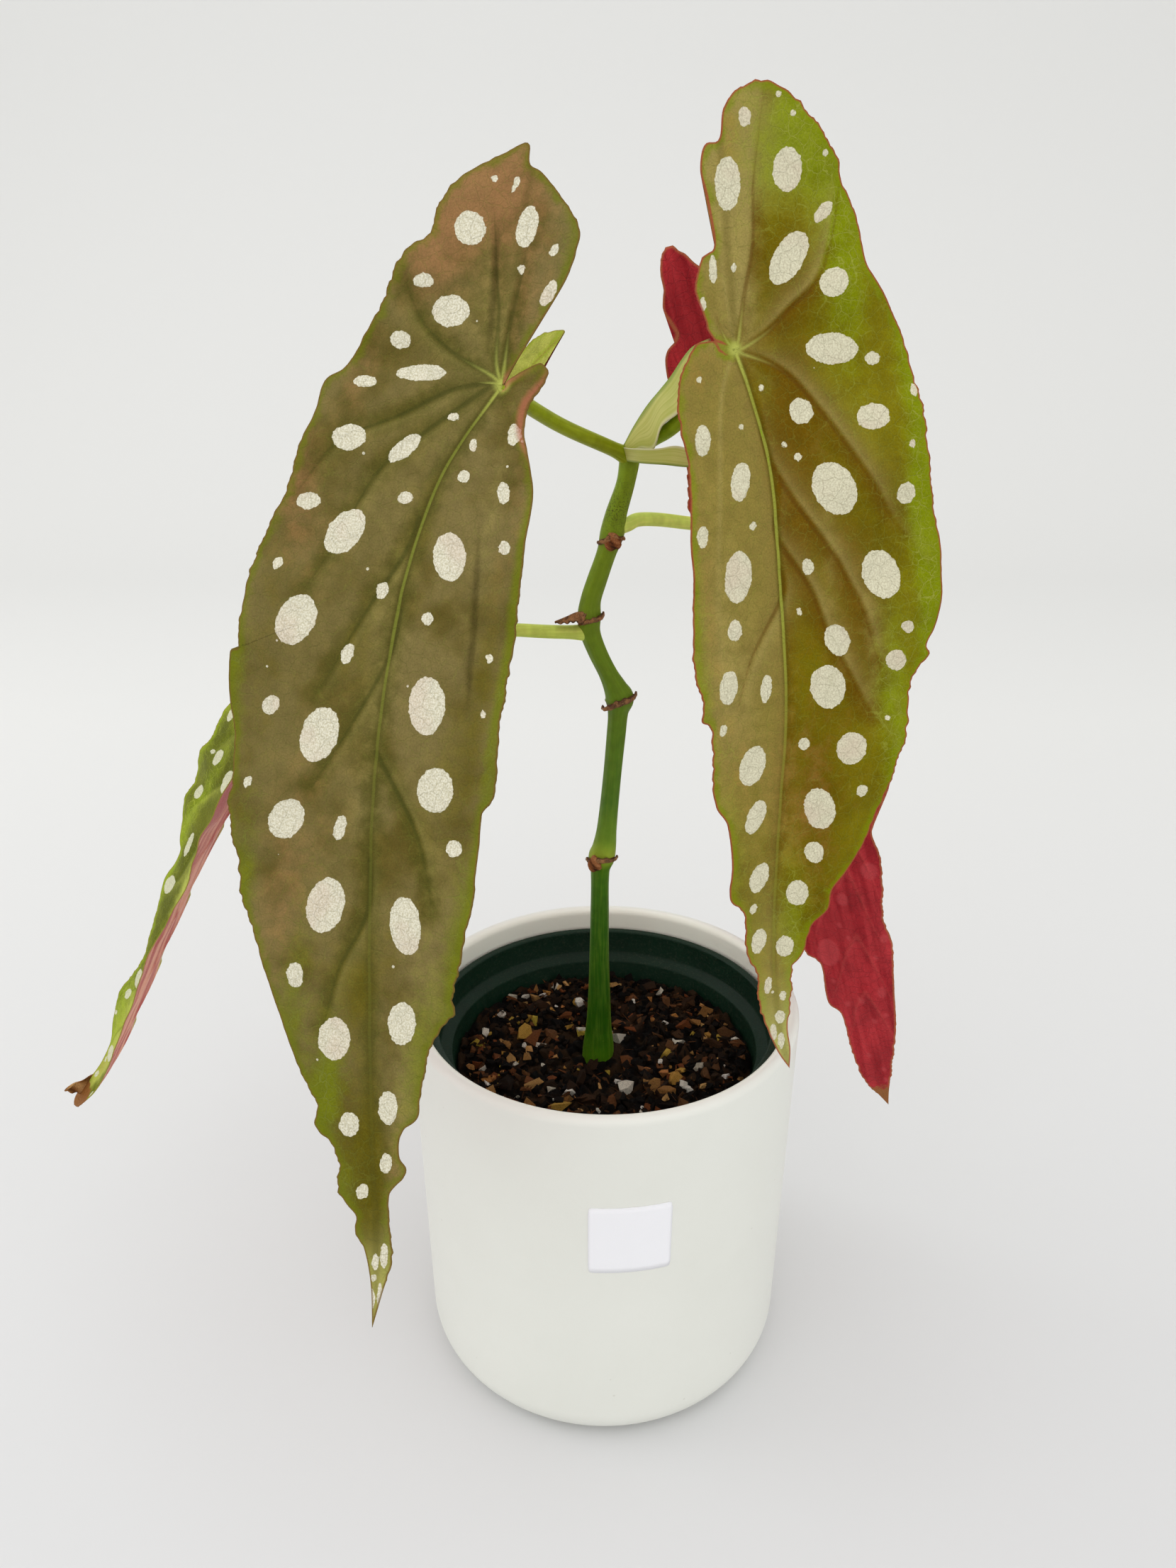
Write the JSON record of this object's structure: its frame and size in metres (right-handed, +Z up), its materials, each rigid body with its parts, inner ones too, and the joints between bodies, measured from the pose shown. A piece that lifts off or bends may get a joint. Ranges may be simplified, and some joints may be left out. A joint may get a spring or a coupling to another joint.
{
  "type": "potted polka dot begonia",
  "caption": "Angel-wing begonia with pale-spotted, crimson-backed leaves on an upright jointed cane, in a nursery pot of soil that stands in a smooth white ceramic pot.",
  "frame": {"origin": "centre of the ceramic pot's foot, on the surface that it stands on", "axes": "+Z up along the pot's axis; the leaves hang towards -Y, the front; +X to the right seen from the front"},
  "size_m": [0.2774, 0.1704, 0.368],
  "materials": {
    "ceramic": "matte off-white glaze",
    "paper_label": "blank white paper",
    "nursery_plastic": "dark green plastic, satin",
    "soil": "potting mix of bark and perlite",
    "cane": "smooth green cane, satin",
    "leaf_olive": "olive brown leaf with cream spots, crimson below",
    "leaf_lime": "olive green leaf with cream spots, crimson below",
    "leaf_crimson": "crimson underside with raised veins",
    "stipule": "thin pale green",
    "dry_stipule": "dry brown"
  },
  "bodies": {
    "root": {"outer_pot": "ceramic", "paper_label": "paper_label", "nursery_pot": "nursery_plastic", "soil": "soil", "cane": "cane", "leaf_front_left": "leaf_olive", "leaf_front_right": "leaf_lime", "leaf_back_right": "leaf_crimson", "leaf_back_left": "leaf_lime", "stipule_upright": "stipule", "stipule_side": "stipule", "dry_stipule_node_1": "dry_stipule", "dry_stipule_node_2": "dry_stipule", "dry_stipule_node_3": "dry_stipule", "dry_stipule_node_4": "dry_stipule"}
  },
  "joints": []
}
